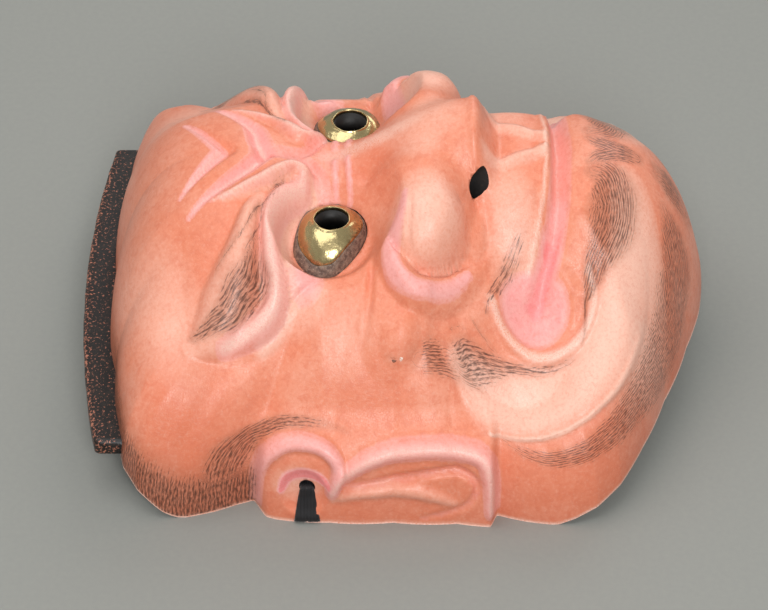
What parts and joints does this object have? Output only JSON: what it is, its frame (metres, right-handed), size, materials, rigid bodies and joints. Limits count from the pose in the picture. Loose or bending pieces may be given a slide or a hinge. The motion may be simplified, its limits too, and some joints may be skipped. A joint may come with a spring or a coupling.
{
  "type": "noh mask",
  "caption": "Carved and painted wooden noh mask of a glaring demon with gilt domed eye caps bedded in putty and short silk cord loops through the ears.",
  "frame": {"origin": "centre of the mask's outline in the plane of the edge that it rests on", "axes": "+X to the mask's own left ear, +Y up the face towards the forehead, +Z out of the face"},
  "size_m": [0.1748, 0.2001, 0.0999],
  "materials": {
    "painted_wood": "satin paint over chalk ground, lacquered back",
    "gilt_copper": "polished, worn gilding",
    "eye_putty": "matt",
    "silk_cord": "soft sheen"
  },
  "bodies": {
    "root": {"carved_shell": "painted_wood", "eye_cap_right": "gilt_copper", "eye_cap_left": "gilt_copper", "eye_putty_right": "eye_putty", "eye_putty_left": "eye_putty", "cord_loop_right": "silk_cord", "cord_loop_left": "silk_cord", "cord_knot_right": "silk_cord", "cord_knot_left": "silk_cord"}
  },
  "joints": []
}
